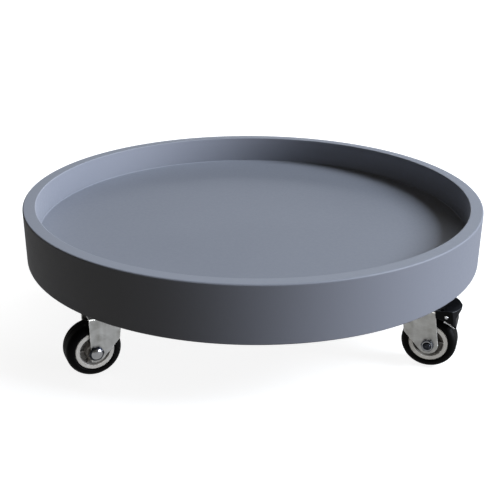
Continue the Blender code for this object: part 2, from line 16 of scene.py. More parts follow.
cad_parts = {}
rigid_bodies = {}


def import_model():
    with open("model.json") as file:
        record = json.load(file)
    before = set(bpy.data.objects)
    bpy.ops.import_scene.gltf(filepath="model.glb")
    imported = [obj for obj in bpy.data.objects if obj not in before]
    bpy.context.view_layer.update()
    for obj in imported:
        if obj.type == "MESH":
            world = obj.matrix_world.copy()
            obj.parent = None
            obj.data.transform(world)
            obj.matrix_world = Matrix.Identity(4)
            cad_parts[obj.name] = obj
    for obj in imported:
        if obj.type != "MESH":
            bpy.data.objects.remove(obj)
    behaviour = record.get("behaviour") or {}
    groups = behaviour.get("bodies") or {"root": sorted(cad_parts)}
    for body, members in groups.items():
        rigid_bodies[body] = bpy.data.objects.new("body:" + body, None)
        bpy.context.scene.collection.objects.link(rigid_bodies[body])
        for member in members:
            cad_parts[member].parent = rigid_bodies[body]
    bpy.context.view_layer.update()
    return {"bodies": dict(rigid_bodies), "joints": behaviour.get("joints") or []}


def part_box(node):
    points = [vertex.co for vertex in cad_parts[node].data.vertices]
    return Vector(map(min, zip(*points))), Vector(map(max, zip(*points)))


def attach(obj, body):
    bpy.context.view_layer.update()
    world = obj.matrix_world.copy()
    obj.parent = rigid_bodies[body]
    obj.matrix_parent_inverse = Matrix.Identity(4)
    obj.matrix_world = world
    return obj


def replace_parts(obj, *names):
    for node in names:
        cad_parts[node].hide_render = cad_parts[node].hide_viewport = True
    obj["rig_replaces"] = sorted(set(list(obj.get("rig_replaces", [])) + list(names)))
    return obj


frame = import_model()

JOINTS = {joint["name"]: joint for joint in frame["joints"]}
CASTERS = ("front_left", "front_right", "rear_left", "rear_right")
BRAKED = ("front_right", "rear_left")

# Clearances of the CAD pieces, and a length past any caster piece.
FIT = 0.0003
OVER = 0.001
LONG = 0.12

# Points closer than these are one, in a new mesh and in a cut one. Faces that turn by less
# than FLAT are one flat face, and edges that turn by more than SHARP are shaded as sharp.
NEW_WELD = 0.000002
WELD = 0.000003
FLAT = math.radians(0.4)
SHARP = math.radians(38.0)

# A turn of an edge, in degrees, above which rounded() rounds it.
ROUND_ABOVE = 30.0

# Sockets of a colour Mix node, by their order: factor, both colours, and the result.
MIX_INPUTS = (0, 6, 7)
MIX_RESULT = 2

# Steps of a full turn: tray, wheel, and pins and screws.
TRAY_STEPS = 288
WHEEL_STEPS = 112
PIN_STEPS = 48
SCREW_STEPS = 28

# Tray.
TRAY_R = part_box("rim_hoop")[1].x
TRAY_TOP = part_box("rim_hoop")[1].z
TRAY_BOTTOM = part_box("rim_hoop")[0].z
BOARD_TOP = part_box("base_board")[1].z
RIM_WALL = 0.0095
RIM_INNER_R = TRAY_R - RIM_WALL
RIM_OUTER_EDGE = 0.0011
RIM_INNER_EDGE = 0.0007
RIM_FOOT_EDGE = 0.0009
BEAD_R = 0.0011

# Swivel head.
PLATE_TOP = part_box("front_left_mounting_plate")[1].z
PLATE_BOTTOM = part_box("front_left_mounting_plate")[0].z
PLATE_RADIAL = 0.030
PLATE_ACROSS = 0.036
PLATE_CORNER = 0.003
PLATE_EDGE = 0.00035
SCREW_RADIAL = 0.020
SCREW_ACROSS = 0.026
SCREW_SHANK_R = 0.0016
SCREW_HEAD_R = 0.0031
SCREW_HEAD_THICK = 0.0019
SCREW_TOP = PLATE_BOTTOM - FIT
SCREW_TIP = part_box("front_left_plate_screw_1")[1].z
SCREW_POINT = 0.0025
SCREW_PITCH = 0.0011
SCREW_THREAD = 0.0003
CROSS_HALF = 0.0017
CROSS_SLOT_HALF = 0.00032
CROSS_DEPTH = 0.0011
CROWN_TOP = JOINTS["front_left_swivel"]["pos_m"][2]
RACE_R = 0.0122
RACE_GROOVE = 0.0009
RACE_LIP = 0.0005
KINGPIN_R = 0.0035
KINGPIN_HEAD_R = 0.0065
KINGPIN_HEAD_THICK = 0.0016
KINGPIN_CAP_R = 0.0052
KINGPIN_CAP_THICK = 0.0009

# Share of a round head's thickness that its straight side leaves for its rounded face.
HEAD_FACE = 0.45

# Caster, from its own frame's origin.
SWIVEL = Vector(JOINTS["front_left_swivel"]["pos_m"])
WHEEL_CENTRE = Vector(JOINTS["front_left_wheel_spin"]["pos_m"])
WHEEL_R = WHEEL_CENTRE.z
TRAIL = (WHEEL_CENTRE - SWIVEL).xy.length

# Fork.
STEEL = 0.0015
FORK_HALF = 0.0109
FORK_INNER = FORK_HALF - STEEL
FORK_BEND_R = 0.0022
FORK_EDGE = 0.00026
LEG_BOSS_R = 0.0070
CROWN_BACK_X = TRAIL + 0.0034
LEG_FRONT_X = TRAIL - 0.0193
LEG_KNEE = (TRAIL - 0.0170, 0.0268)
KNEE_R = 0.0025

# Wheel, round its own centre.
WHEEL_HALF = 0.0085
TYRE_SHOULDER_R = 0.0046
TYRE_BORE_R = 0.0137
TYRE_LIP = 0.0004
TYRE_BORE_EDGE = 0.0004
TYRE_SEAM = 0.00012
TYRE_SEAM_HALF = 2.2 * TYRE_SEAM
RING_HALF = 0.0081
RING_INNER_R = 0.0104
WEB_HALF = 0.0030
HUB_DRAFT = 0.0006
HUB_BOSS_R = 0.0062
HUB_HALF = 0.0088
HUB_BORE_R = 0.0039
RIB_HALF = 0.0058
RIB_THICK = 0.0013
RIB_EDGE = RIB_THICK * 0.35
RIB_PAIRS = 3
SLEEVE_R = 0.0036
AXLE_R = 0.0025
BOLT_HEAD_ACROSS = 0.0098
BOLT_HEAD_THICK = 0.0026
BOLT_CORNER_R = 0.0024
BOLT_DOME_R = 0.0050
BOLT_DOME = 0.0016
BOLT_DOME_STEPS = 8
# From this radius out the bolt's dome is painted dark: painted shade round the head's edge.
BOLT_PAINTED_SHADE_R = BOLT_DOME_R * 0.80
BOLT_EDGE = 0.0002
WASHER_FACE = 0.0004
WASHER_FACE_R = BOLT_HEAD_ACROSS / 2 * 0.97
THREAD_PITCH = 0.0008
THREAD_DEPTH = 0.0003
NUT_ACROSS = 0.0078
NUT_THICK = 0.0024
NUT_EDGE = 0.0001
NUT_CHAMFER = 0.0005
BOLT_END = 0.0008

# Brake, locked and measured from the caster's frame; it is turned back by its travel.
PIN_X = TRAIL + 0.0109
PIN_Z = JOINTS["front_right_brake_pedal_tilt"]["pos_m"][2]
PIN_R = 0.00125
PIN_EDGE = 0.0004
EAR_R = 0.0026
PEDAL_TRAVEL = math.radians(9.0)
PEDAL_HALF = 0.0126
PEDAL_SLOT_INNER = FORK_INNER - 0.0005
PEDAL_SLOT_OUTER = FORK_HALF + FIT
PEDAL_SLOT_MIDDLE = (PEDAL_SLOT_INNER + PEDAL_SLOT_OUTER) / 2
PEDAL_SLOT_ROOM = 0.0004
PEDAL_EDGE = 0.00035
SHOE_HALF = 0.0085
SHOE_THICK = 0.0009
SHOE_EDGE = 0.0002
SHOE_LOCKED_R = WHEEL_R + 0.00045
PEDAL_ARCH_R = SHOE_LOCKED_R + SHOE_THICK + FIT
PEDAL_LIP = 0.0005
PEDAL_CHEEK_ARCH_R = 0.0228
PEDAL_TOE = 80.0
PEDAL_CORE_X = -0.0060
PEDAL_HEEL = 40.0
SHOE_SPAN = 26.0

# The pedal's side as (x, z, corner radius) from its pin: front, crest, tip and notch.
PEDAL_SIDE = [
    (-0.0073, 0.0044, 0),
    (0.0008, 0.0046, 0.0020),
    (0.0094, 0.0030, 0.0005),
    (0.0092, 0.0016, 0.0005),
    (0.0060, -0.0020, 0.0010),
]

# Half of the pedal from above as (x, y, corner radius) from its pin: cheek, shoulder and tip.
PEDAL_PLAN = [
    (0.0042, PEDAL_HALF, 0.0014),
    (0.0068, 0.0094, 0.0010),
    (0.0095, 0.0026, 0.0016),
]

# Half the range of x times y over a fork's legs, for the painted shade on them.
PAINTED_SHADE_SPAN = FORK_HALF * TRAIL

# Studio.
LIGHT_DISTANCE = 4.0
BACKDROP_R = 9.0
FLOOR_HALF = 4.0
CAMERA_PLACE = (-0.04265, -0.60986, 0.29257)
CAMERA_DEGREES = (67.7413, -0.3468, -3.6701)
CAMERA_LENS = 58.98
CAMERA_SENSOR = 36.0
CAMERA_NEAREST = 0.01

TURN_TO_Y = Matrix.Rotation(-math.pi / 2, 4, "X")
STAND_UP = Matrix.Rotation(math.pi / 2, 4, "X")
FACE_X = Matrix.Rotation(math.pi / 2, 4, "Z") @ STAND_UP


# Mesh helpers ---------------------------------------------------------------------------


def linked(name, data):
    """A new object in the scene."""
    obj = bpy.data.objects.new(name, data)
    bpy.context.scene.collection.objects.link(obj)
    return obj


def arc(centre, radius, start, end, steps):
    """Points on an arc, with its angles in degrees."""
    points = []
    for i in range(steps + 1):
        angle = math.radians(start + (end - start) * i / steps)
        points.append((centre[0] + radius * math.cos(angle), centre[1] + radius * math.sin(angle)))
    return points


def filleted(corners, steps=8):
    """An outline whose (x, y, radius) corners are rounded; radius 0 keeps a sharp corner."""
    points = []
    count = len(corners)
    for i, (x, y, radius) in enumerate(corners):
        here = Vector((x, y))
        if radius == 0:
            points.append((x, y))
            continue
        back = (Vector(corners[i - 1][:2]) - here).normalized()
        ahead = (Vector(corners[(i + 1) % count][:2]) - here).normalized()
        half_angle = back.angle(ahead) / 2
        reach = radius / math.tan(half_angle)
        centre = here + (back + ahead).normalized() * (radius / math.sin(half_angle))
        first = here + back * reach - centre
        turn = first.angle_signed(here + ahead * reach - centre)
        for step in range(steps + 1):
            spoke = first.copy()
            spoke.rotate(Matrix.Rotation(-turn * step / steps, 2))
            points.append(tuple(centre + spoke))
    return points


def rectangle(half_x, half_y, radius, steps=8):
    """The outline of a rectangle round the origin, with rounded corners."""
    corners = [(half_x, half_y), (-half_x, half_y), (-half_x, -half_y), (half_x, -half_y)]
    return filleted([(x, y, radius) for x, y in corners], steps)


def finished_mesh(name, bm):
    """A mesh from bm, with its doubles merged and its normals outward, and bm is freed."""
    bmesh.ops.remove_doubles(bm, verts=bm.verts, dist=NEW_WELD)
    bmesh.ops.recalc_face_normals(bm, faces=bm.faces)
    mesh = bpy.data.meshes.new(name)
    bm.to_mesh(mesh)
    bm.free()
    return mesh


def turned(name, profile, steps, turn=None):
    """A solid of revolution round Z, or round Y with TURN_TO_Y.

    A profile of (radius, height) points that starts and ends on the axis is left open, and
    any other is a closed ring.
    """
    bm = bmesh.new()
    rings = []
    for radius, height in profile:
        if radius == 0.0:
            rings.append([bm.verts.new((0.0, 0.0, height))] * steps)
            continue
        ring = []
        for step in range(steps):
            angle = 2 * math.pi * step / steps
            ring.append(bm.verts.new((radius * math.cos(angle), radius * math.sin(angle), height)))
        rings.append(ring)
    if profile[0][0] > 0.0:
        rings.append(rings[0])
    for low, high in zip(rings, rings[1:]):
        for step in range(steps):
            ahead = (step + 1) % steps
            corners = (low[step], low[ahead], high[ahead], high[step])
            bm.faces.new(tuple(dict.fromkeys(corners)))
    mesh = finished_mesh(name, bm)
    if turn:
        mesh.transform(turn)
    return mesh


def extruded(name, outline, low, high, place=None):
    """A flat outline in XY, solid from low to high along Z, then moved to its place."""
    bm = bmesh.new()
    under = [bm.verts.new((x, y, low)) for x, y in outline]
    over = [bm.verts.new((x, y, high)) for x, y in outline]
    bm.faces.new(under[::-1])
    bm.faces.new(over)
    count = len(outline)
    for i in range(count):
        ahead = (i + 1) % count
        bm.faces.new((under[i], under[ahead], over[ahead], over[i]))
    mesh = finished_mesh(name, bm)
    if place:
        mesh.transform(place)
    return mesh


def cylinder(name, radius, low, high, steps, turn=None, centre=(0.0, 0.0)):
    """A plain cylinder along Z at (x, y), or with TURN_TO_Y along Y at (x, z)."""
    mesh = extruded(name, arc((0.0, 0.0), radius, 0, 360 - 360 / steps, steps - 1), low, high)
    if turn:
        mesh.transform(Matrix.Translation((centre[0], 0.0, centre[1])) @ turn)
    else:
        mesh.transform(Matrix.Translation((centre[0], centre[1], 0.0)))
    return mesh


def joined(name, meshes):
    """Separate solids in one mesh."""
    bm = bmesh.new()
    for piece in meshes:
        bm.from_mesh(piece)
    mesh = bpy.data.meshes.new(name)
    bm.to_mesh(mesh)
    bm.free()
    return mesh


def evaluated(obj):
    """The mesh that an object's modifiers make, and the object is then removed."""
    bpy.context.view_layer.update()
    graph = bpy.context.evaluated_depsgraph_get()
    mesh = bpy.data.meshes.new_from_object(obj.evaluated_get(graph))
    bpy.data.objects.remove(obj, do_unlink=True)
    return mesh


def combined(name, base, steps):
    """base changed by (operation, mesh) steps, with its flat faces whole."""
    obj = linked(name, base)
    tools = []
    for operation, mesh in steps:
        tool = linked("tool", mesh)
        boolean = obj.modifiers.new(operation.title(), "BOOLEAN")
        boolean.operation = operation
        boolean.object = tool
        tools.append(tool)
    mesh = evaluated(obj)
    for tool in tools:
        bpy.data.objects.remove(tool, do_unlink=True)
    bm = bmesh.new()
    bm.from_mesh(mesh)
    bmesh.ops.remove_doubles(bm, verts=bm.verts, dist=WELD)
    bmesh.ops.dissolve_degenerate(bm, edges=bm.edges, dist=WELD)
    bmesh.ops.dissolve_limit(
        bm, angle_limit=FLAT, verts=bm.verts, edges=bm.edges, delimit={"MATERIAL"}
    )
    bmesh.ops.recalc_face_normals(bm, faces=bm.faces)
    bm.to_mesh(mesh)
    bm.free()
    mesh.name = name
    return mesh


def rounded(mesh, edge, segments=3, angle=ROUND_ABOVE):
    """mesh with its outer edges rounded by this much, in the finish's second material."""
    bm = bmesh.new()
    bm.from_mesh(mesh)
    sharp = []
    for side in bm.edges:
        if side.is_manifold and side.is_convex and side.calc_face_angle() > math.radians(angle):
            sharp.append(side)
    made = bmesh.ops.bevel(
        bm, geom=sharp, offset=edge, offset_type="OFFSET", segments=segments, profile=0.5,
        affect="EDGES", clamp_overlap=False, loop_slide=True, miter_outer="ARC",
    )
    for face in made["faces"]:
        face.material_index = 1
    bmesh.ops.remove_doubles(bm, verts=bm.verts, dist=WELD)
    bmesh.ops.recalc_face_normals(bm, faces=bm.faces)
    bm.to_mesh(mesh)
    bm.free()
    return mesh


def second_material_where(mesh, test):
    """Gives the finish's second material to the faces whose (centre, normal) pass this test."""
    for face in mesh.polygons:
        if test(face.center, face.normal):
            face.material_index = 1


def hexagon_outline(across, corner=0.0002):
    """A hexagon this far across its flats, with rounded corners."""
    points = arc((0.0, 0.0), across / math.sqrt(3), 0, 300, 5)
    return filleted([(x, y, corner) for x, y in points], 3)


# Materials ------------------------------------------------------------------------------


class Recipe:
    """A procedural material: a Principled shader, with patterns in the piece's own space."""

    def __init__(self, name, **values):
        self.material = bpy.data.materials.new(name)
        self.material.use_nodes = True
        self.tree = self.material.node_tree
        self.shader = self.tree.nodes["Principled BSDF"]
        for socket, value in values.items():
            self.shader.inputs[socket.replace("_", " ")].default_value = value
        self.coordinates = self.tree.nodes.new("ShaderNodeTexCoord").outputs["Object"]

    def node(self, kind, inputs=(), **settings):
        made = self.tree.nodes.new(kind)
        for setting, value in settings.items():
            setattr(made, setting, value)
        for socket, value in dict(inputs).items():
            if isinstance(value, bpy.types.NodeSocket):
                self.tree.links.new(value, made.inputs[socket])
            else:
                made.inputs[socket].default_value = value
        return made

    def stretched(self, scale):
        """The piece's coordinates with each axis scaled, for patterns with a direction."""
        mapping = self.node("ShaderNodeMapping", {"Vector": self.coordinates, "Scale": scale})
        return mapping.outputs["Vector"]

    def noise(self, scale, detail=3.0, roughness=0.5, vector=None):
        made = self.node("ShaderNodeTexNoise", {
            "Vector": vector or self.coordinates,
            "Scale": scale,
            "Detail": detail,
            "Roughness": roughness,
        })
        return made.outputs["Fac"]

    def ranged(self, value, low, high, to_low, to_high):
        """value's range from low to high, taken to another one and held there."""
        made = self.node("ShaderNodeMapRange", {
            "Value": value,
            "From Min": low,
            "From Max": high,
            "To Min": to_low,
            "To Max": to_high,
        })
        return made.outputs["Result"]

    def mixed(self, factor, first, second):
        """The colour first, turning to second as the factor goes from 0 to 1."""
        inputs = dict(zip(MIX_INPUTS, (factor, first, second)))
        made = self.node("ShaderNodeMix", inputs, data_type="RGBA", clamp_factor=True)
        return made.outputs[MIX_RESULT]

    def blended(self, pattern, low, high, first, second):
        """The colour first, turning to second as a pattern goes from low to high."""
        return self.mixed(self.ranged(pattern, low, high, 0.0, 1.0), first, second)

    def product(self, first, second):
        made = self.node("ShaderNodeMath", {0: first, 1: second}, operation="MULTIPLY")
        return made.outputs["Value"]

    def axis(self, letter):
        """One of the piece's own coordinates."""
        return self.node("ShaderNodeSeparateXYZ", {"Vector": self.coordinates}).outputs[letter]

    def radius_round_y(self):
        """The distance from the piece's own Y axis."""
        flat = self.stretched((1.0, 0.0, 1.0))
        return self.node("ShaderNodeVectorMath", {0: flat}, operation="LENGTH").outputs["Value"]

    def bump(self, height, strength, distance, under=None):
        inputs = {"Height": height, "Strength": strength, "Distance": distance}
        if under:
            inputs["Normal"] = under
        return self.node("ShaderNodeBump", inputs).outputs["Normal"]

    def set(self, socket, value):
        self.tree.links.new(value, self.shader.inputs[socket])

    def set_roughness(self, pattern, low, high):
        """Roughness from low to high, by a noise pattern."""
        self.set("Roughness", self.ranged(pattern, 0.3, 0.7, low, high))


def grey_paint():
    """Matt blue-grey paint: roller texture, clouding, fine dust, and a painted highlight on the
    rim's top.
    """
    paint = Recipe("grey_paint", Specular_IOR_Level=0.30)
    cloud = paint.noise(9.0, 4.0, 0.55)
    fine = paint.noise(420.0, 2.0)
    base = paint.blended(cloud, 0.3, 0.7, (0.262, 0.272, 0.312, 1.0), (0.276, 0.286, 0.327, 1.0))
    speck = paint.ranged(paint.noise(1500.0, 1.0), 0.74, 0.80, 0.0, 0.35)
    base = paint.mixed(speck, base, (0.34, 0.35, 0.38, 1.0))
    # Painted highlight: the paint turns lighter towards the rim's top face.
    rim_top_highlight = (TRAY_TOP - RIM_OUTER_EDGE, TRAY_TOP)
    base = paint.blended(paint.axis("Z"), *rim_top_highlight, base, (0.315, 0.325, 0.368, 1.0))
    paint.set("Base Color", base)
    paint.set_roughness(fine, 0.46, 0.56)
    peel = paint.bump(paint.noise(650.0, 3.0, 0.6), 0.16, 0.0002)
    paint.set("Normal", paint.bump(paint.noise(70.0, 2.0), 0.10, 0.0004, peel))
    return paint.material


def zinc(name, light, dark, rough_low, rough_high, streak):
    """Zinc plate on pressed steel: clouds, drawn marks, bands down the strip, and painted shade.

    The painted shade darkens the far side of one fork leg and the near side of the other.
    """
    steel = Recipe(name, Metallic=1.0)
    cloud = steel.noise(190.0, 5.0, 0.6)
    grain = steel.noise(1.0, 4.0, 0.65, steel.stretched(streak))
    bands = steel.noise(1.0, 2.0, 0.5, steel.stretched((150.0, 90.0, 14.0)))
    tone = steel.blended(bands, 0.36, 0.64, dark, light)
    # Painted shade: one half of each fork leg is darkened.
    painted_shade_side = steel.product(steel.axis("X"), steel.axis("Y"))
    tone = steel.mixed(steel.ranged(painted_shade_side, -PAINTED_SHADE_SPAN, PAINTED_SHADE_SPAN, 0.55, 0.0), tone, dark)
    tone = steel.mixed(steel.ranged(cloud, 0.40, 0.72, 0.0, 0.6), tone, light)
    tone = steel.mixed(steel.ranged(grain, 0.45, 0.75, 0.0, 0.4), tone, dark)
    steel.set("Base Color", tone)
    steel.set_roughness(cloud, rough_low, rough_high)
    scratch = steel.bump(grain, 0.10, 0.00006)
    steel.set("Normal", steel.bump(steel.noise(900.0, 2.0), 0.10, 0.00006, scratch))
    return steel.material


def zinc_edge_highlight():
    """A painted highlight on the zinc plate's rounded edges: lighter, and a little uneven."""
    steel = Recipe("zinc_edge_highlight", Metallic=1.0)
    highlight_unevenness = steel.noise(700.0, 4.0, 0.65)
    tone = steel.blended(highlight_unevenness, 0.35, 0.65, (0.70, 0.71, 0.70, 1.0), (0.92, 0.92, 0.90, 1.0))
    steel.set("Base Color", tone)
    steel.set_roughness(highlight_unevenness, 0.34, 0.50)
    return steel.material


def dark_steel():
    """Dark steel on the thread, and painted shade round the heads' edges, with rubbed specks."""
    steel = Recipe("dark_steel", Metallic=1.0)
    haze = steel.noise(800.0, 4.0, 0.65)
    tone = steel.blended(haze, 0.45, 0.75, (0.030, 0.034, 0.042, 1.0), (0.16, 0.17, 0.20, 1.0))
    steel.set("Base Color", tone)
    steel.set_roughness(haze, 0.28, 0.44)
    return steel.material


def bright_steel():
    """Nickel plate: near mirror, with a light haze and faint turning marks."""
    steel = Recipe("bright_steel", Metallic=1.0)
    haze = steel.noise(260.0, 4.0, 0.6)
    rings = steel.node("ShaderNodeTexWave", {
        "Vector": steel.coordinates,
        "Scale": 420.0,
        "Distortion": 2.0,
        "Detail": 2.0,
    }, wave_type="RINGS", rings_direction="Y").outputs["Fac"]
    tone = steel.blended(haze, 0.35, 0.65, (0.60, 0.62, 0.65, 1.0), (0.74, 0.75, 0.77, 1.0))
    steel.set("Base Color", tone)
    steel.set_roughness(haze, 0.14, 0.26)
    steel.set("Normal", steel.bump(rings, 0.05, 0.00004))
    return steel.material


def hub_plastic():
    """Moulded light grey plastic: fine spark grain, slight yellowing, painted shade in the recess.
    """
    plastic = Recipe("hub_plastic", Specular_IOR_Level=0.45)
    plastic.shader.inputs["Subsurface Weight"].default_value = 0.06
    plastic.shader.inputs["Subsurface Radius"].default_value = (0.001, 0.0009, 0.0007)
    cloud = plastic.noise(160.0, 4.0, 0.6)
    tone = plastic.blended(cloud, 0.3, 0.7, (0.34, 0.335, 0.32, 1.0), (0.40, 0.395, 0.38, 1.0))
    # Painted shade: everything inside the ring's wall is darkened, a little unevenly.
    wall = (RING_INNER_R - HUB_DRAFT, RING_INNER_R)
    recess_shade = plastic.ranged(plastic.radius_round_y(), *wall, 1.0, 0.0)
    shade_unevenness = plastic.ranged(plastic.noise(420.0, 4.0, 0.7), 0.35, 0.65, 0.75, 1.0)
    tone = plastic.mixed(plastic.product(recess_shade, shade_unevenness), tone, (0.040, 0.034, 0.028, 1.0))
    plastic.set("Base Color", tone)
    plastic.set_roughness(cloud, 0.36, 0.50)
    plastic.set("Normal", plastic.bump(plastic.noise(1400.0, 2.0), 0.12, 0.00006))
    return plastic.material


def tyre_rubber():
    """Black moulded rubber: fine grain, a faint grey bloom, scuffs on the tread."""
    rubber = Recipe("tyre_rubber", Specular_IOR_Level=0.10)
    bloom = rubber.noise(120.0, 5.0, 0.65)
    grain = rubber.noise(1700.0, 3.0)
    black = (0.0014, 0.0014, 0.0016, 1.0)
    tone = rubber.blended(bloom, 0.35, 0.7, black, (0.0036, 0.0035, 0.0035, 1.0))
    scuff = rubber.ranged(rubber.noise(520.0, 5.0, 0.75), 0.58, 0.72, 0.0, 0.5)
    tone = rubber.mixed(scuff, tone, (0.010, 0.0095, 0.009, 1.0))
    rubber.set("Base Color", tone)
    rubber.set_roughness(bloom, 0.40, 0.56)
    rubber.set("Normal", rubber.bump(grain, 0.22, 0.00008))
    return rubber.material


def pedal_plastic():
    """Black moulded plastic with a spark grain."""
    plastic = Recipe("pedal_plastic", Specular_IOR_Level=0.16)
    cloud = plastic.noise(240.0, 4.0, 0.6)
    black = (0.0025, 0.0025, 0.0032, 1.0)
    tone = plastic.blended(cloud, 0.3, 0.7, black, (0.0060, 0.0060, 0.0072, 1.0))
    plastic.set("Base Color", tone)
    plastic.set_roughness(cloud, 0.30, 0.46)
    plastic.set("Normal", plastic.bump(plastic.noise(1500.0, 3.0), 0.20, 0.00008))
    return plastic.material


def pedal_edge_highlight():
    """A painted highlight on the pedal's rounded edges, a little lighter than its faces."""
    plastic = Recipe("pedal_edge_highlight", Specular_IOR_Level=0.30)
    highlight_unevenness = plastic.noise(600.0, 4.0, 0.65)
    tone = plastic.blended(highlight_unevenness, 0.35, 0.65, (0.010, 0.010, 0.012, 1.0), (0.034, 0.034, 0.040, 1.0))
    plastic.set("Base Color", tone)
    plastic.set_roughness(highlight_unevenness, 0.36, 0.50)
    return plastic.material


def make_materials():
    """Each finish: the record's slot that it belongs to, and its one or two materials."""
    pressed = zinc(
        "zinc_steel", (0.60, 0.61, 0.61, 1.0), (0.36, 0.36, 0.34, 1.0),
        0.30, 0.42, (260.0, 260.0, 2600.0),
    )
    cups = zinc(
        "zinc_race", (0.52, 0.52, 0.50, 1.0), (0.34, 0.34, 0.33, 1.0),
        0.26, 0.44, (900.0, 900.0, 4200.0),
    )
    bright = bright_steel()
    return {
        "paint": ("grey_paint", grey_paint()),
        "zinc": ("zinc_steel", pressed, zinc_edge_highlight()),
        "race": ("zinc_steel", cups),
        "bright": ("bright_steel", bright),
        "bolt": ("bright_steel", bright, dark_steel()),
        "hub": ("hub_plastic", hub_plastic()),
        "rubber": ("tyre_rubber", tyre_rubber()),
        "pedal": ("pedal_plastic", pedal_plastic(), pedal_edge_highlight()),
    }


# Tray -----------------------------------------------------------------------------------


def screw_nodes(name):
    """The CAD names of a caster's plate screws, each with the middle of its box."""
    nodes = []
    for number in range(1, 5):
        node = f"{name}_plate_screw_{number}"
        low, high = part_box(node)
        nodes.append((node, (low + high) / 2))
    return nodes


def rim_hoop_mesh():
    profile = filleted([
        (RIM_INNER_R, TRAY_TOP, RIM_INNER_EDGE),
        (TRAY_R, TRAY_TOP, RIM_OUTER_EDGE),
        (TRAY_R, TRAY_BOTTOM, RIM_FOOT_EDGE),
        (RIM_INNER_R, TRAY_BOTTOM, RIM_INNER_EDGE),
    ])
    return turned("rim_hoop", profile, TRAY_STEPS)


def base_board_mesh():
    """The board, with the painted bead that closes its joint with the rim hoop."""
    bead = arc((RIM_INNER_R - BEAD_R, BOARD_TOP + BEAD_R), BEAD_R, 270, 360, 8)
    outer = RIM_INNER_R - FIT / 10
    bead = [(min(radius, outer), height) for radius, height in bead]
    foot = [(outer, TRAY_BOTTOM + FIT), (outer - FIT, TRAY_BOTTOM), (0.0, TRAY_BOTTOM)]
    profile = [(0.0, BOARD_TOP), (RIM_INNER_R * 0.5, BOARD_TOP)] + bead + foot
    board = turned("base_board", profile, TRAY_STEPS)
    holes = []
    for name in CASTERS:
        for _node, place in screw_nodes(name):
            hole = cylinder(
                "hole", SCREW_SHANK_R + FIT, TRAY_BOTTOM - OVER, SCREW_TIP + FIT, SCREW_STEPS,
                centre=(place.x, place.y),
            )
            holes.append(hole)
    return combined("base_board", board, [("DIFFERENCE", joined("holes", holes))])


# Swivel head ----------------------------------------------------------------------------


def plate_mesh():
    outline = rectangle(PLATE_RADIAL / 2, PLATE_ACROSS / 2, PLATE_CORNER)
    plate = extruded("plate", outline, PLATE_BOTTOM, PLATE_TOP)
    below = PLATE_BOTTOM - OVER
    above = PLATE_TOP + OVER
    pocket = PLATE_TOP - KINGPIN_CAP_THICK - FIT
    holes = [cylinder("hole", KINGPIN_R + FIT, below, above, PIN_STEPS)]
    for x in (-SCREW_RADIAL / 2, SCREW_RADIAL / 2):
        for y in (-SCREW_ACROSS / 2, SCREW_ACROSS / 2):
            hole = cylinder("hole", SCREW_SHANK_R + FIT, below, above, SCREW_STEPS, centre=(x, y))
            holes.append(hole)
    counterbore = cylinder("counterbore", KINGPIN_CAP_R + FIT, pocket, above, PIN_STEPS)
    steps = [("DIFFERENCE", joined("holes", holes)), ("DIFFERENCE", counterbore)]
    return combined("plate", rounded(plate, PLATE_EDGE), steps)


def race_mesh():
    """The two pressed cups that hold the balls, with a rolled groove between them."""
    low = CROWN_TOP + FIT
    high = PLATE_BOTTOM - FIT
    middle = (low + high) / 2
    bore = KINGPIN_R + FIT
    profile = filleted([
        (bore, high, RACE_LIP / 5),
        (RACE_R - RACE_LIP, high, RACE_LIP),
        (RACE_R, high - RACE_LIP, RACE_LIP / 2),
        (RACE_R, middle + RACE_GROOVE / 2, RACE_LIP / 3),
        (RACE_R - RACE_GROOVE, middle, RACE_LIP / 4),
        (RACE_R, middle - RACE_GROOVE / 2, RACE_LIP / 3),
        (RACE_R, low + RACE_LIP, RACE_LIP / 2),
        (RACE_R - RACE_LIP, low, RACE_LIP),
        (bore, low, RACE_LIP / 5),
    ], 4)
    return turned("race", profile, WHEEL_STEPS)


def kingpin_mesh():
    """A rivet: a flat cap in the plate's counterbore, and a dimpled head under the crown."""
    head_top = CROWN_TOP - STEEL - FIT
    head_bottom = head_top - KINGPIN_HEAD_THICK
    cap_bottom = PLATE_TOP - KINGPIN_CAP_THICK
    dimple = 0.0018
    corners = [
        (0.0, PLATE_TOP - FIT / 2, 0),
        (KINGPIN_CAP_R, PLATE_TOP - FIT / 2, 0.0003),
        (KINGPIN_CAP_R, cap_bottom, 0.0002),
        (KINGPIN_R, cap_bottom, 0),
        (KINGPIN_R, head_top, 0),
        (KINGPIN_HEAD_R, head_top, 0.0002),
        (KINGPIN_HEAD_R, head_bottom + KINGPIN_HEAD_THICK * HEAD_FACE, 0.0004),
        (KINGPIN_HEAD_R * 0.74, head_bottom, 0.0009),
        (dimple, head_bottom, 0.0002),
        (dimple * 0.6, head_bottom + 0.0005, 0.0003),
        (0.0, head_bottom + 0.0006, 0),
    ]
    return turned("kingpin", filleted(corners, 5), PIN_STEPS)


